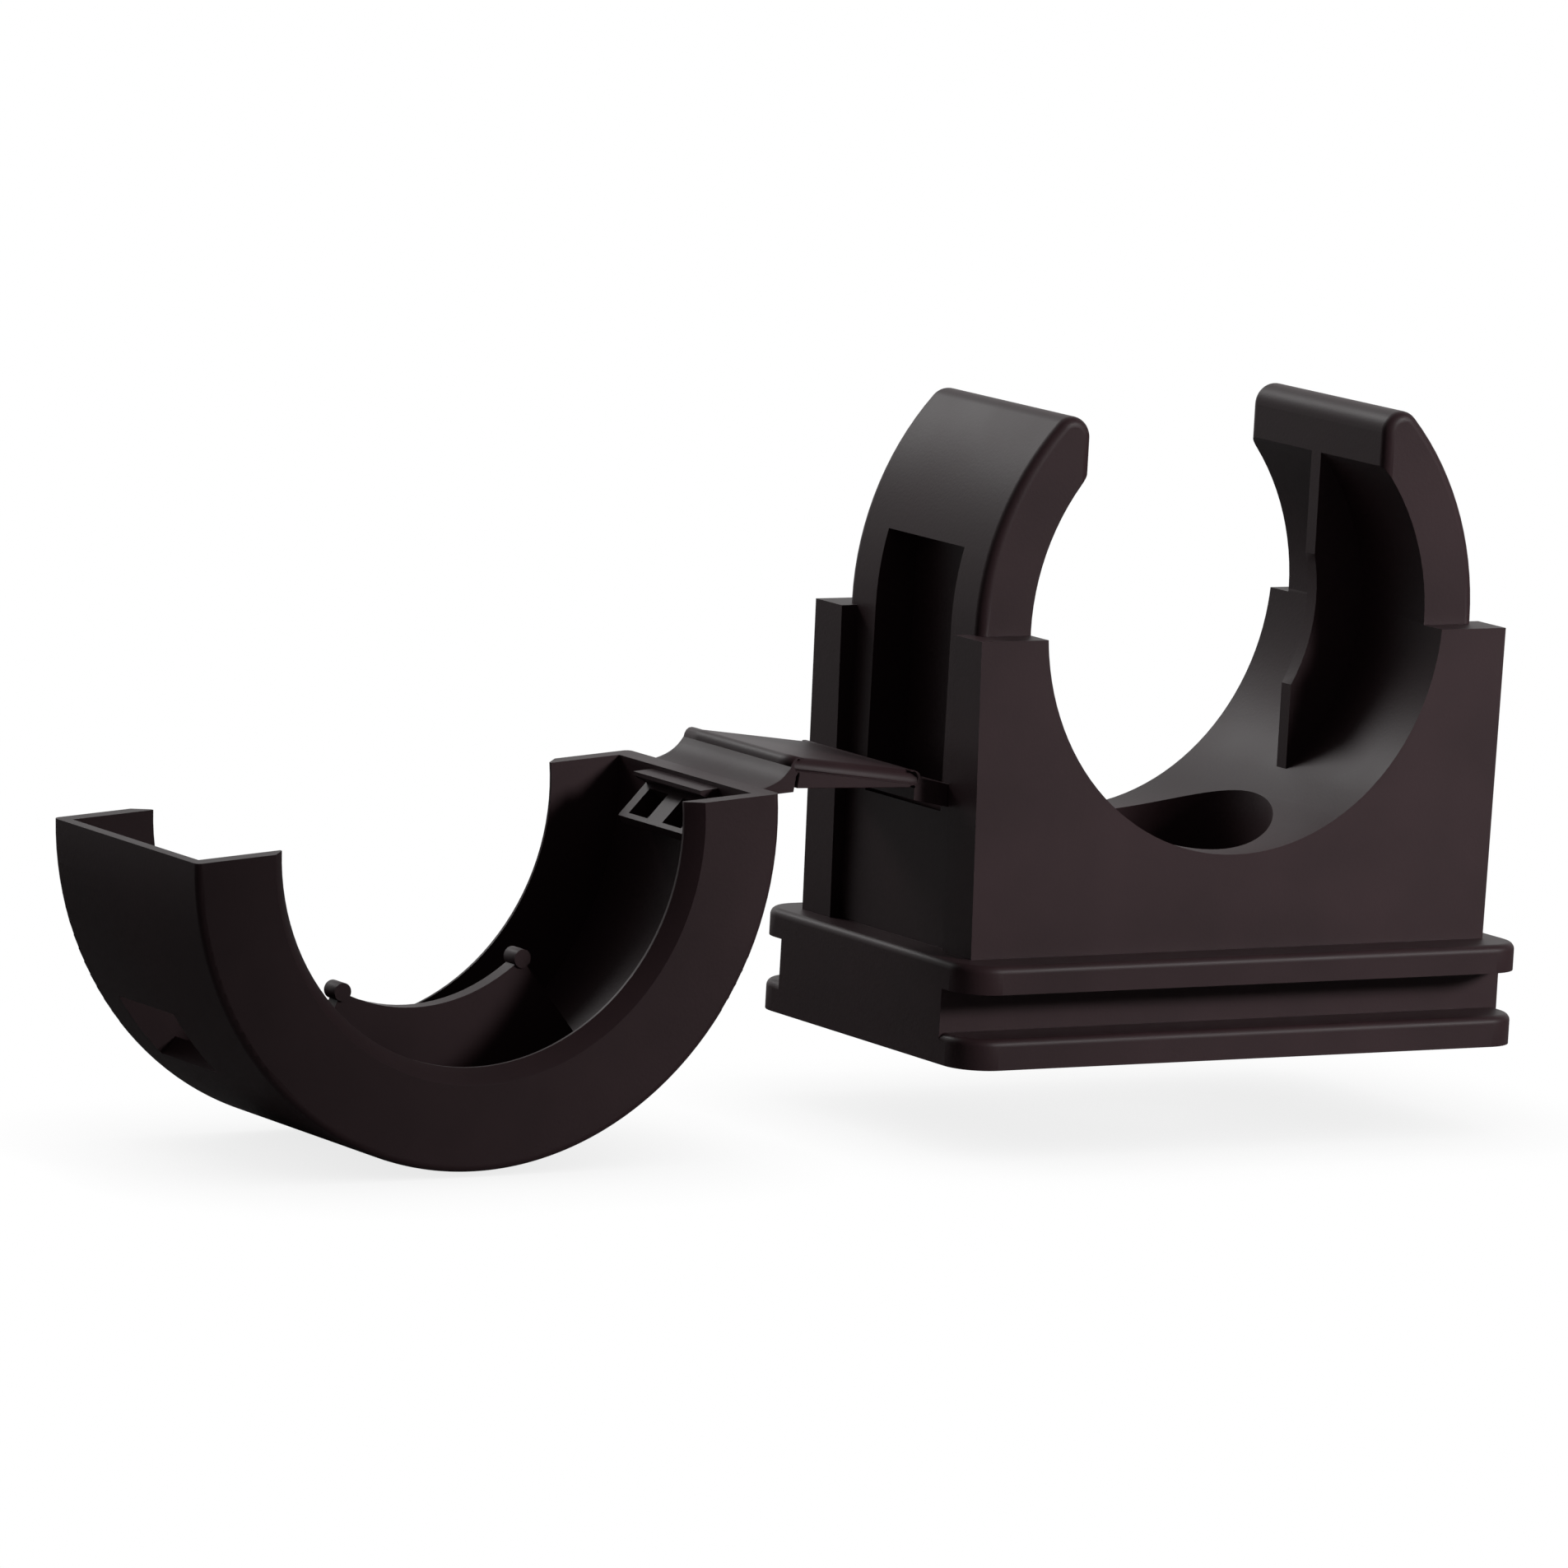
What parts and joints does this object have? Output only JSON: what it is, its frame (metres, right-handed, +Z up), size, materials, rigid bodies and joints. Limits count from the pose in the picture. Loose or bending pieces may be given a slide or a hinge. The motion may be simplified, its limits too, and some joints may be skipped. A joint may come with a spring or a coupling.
{
  "type": "hose clip",
  "caption": "Moulded clip that holds a corrugated hose between two arms on a screw-down foot, with a half-ring lid on a film hinge that folds over and locks.",
  "frame": {"origin": "centre of the screw hole at the underside of the foot", "axes": "+Z up out of the foot, +Y along the hose, +X from the lid's hinge side towards the far arm"},
  "size_m": [0.0904, 0.0242, 0.0432],
  "materials": {
    "base": "satin black",
    "strap": "satin black",
    "lid": "satin black"
  },
  "bodies": {
    "base": {"base": "base"},
    "strap": {"strap": "strap"},
    "lid": {"lid": "lid"}
  },
  "joints": [
    {"name": "strap_fold", "type": "hinge", "parent": "base", "child": "strap", "pos_m": [-0.02105, 0, 0.0166], "axis": [0, 1, 0], "range_deg": [0, 73.46]},
    {"name": "lid_fold", "type": "hinge", "parent": "strap", "child": "lid", "pos_m": [-0.02882, 0, 0.01757], "axis": [0, 1, 0], "range_deg": [0, 110.83]}
  ],
  "couplings": [
    {"joint": "lid_fold", "follows": "strap_fold", "ratio": 1.5086}
  ]
}
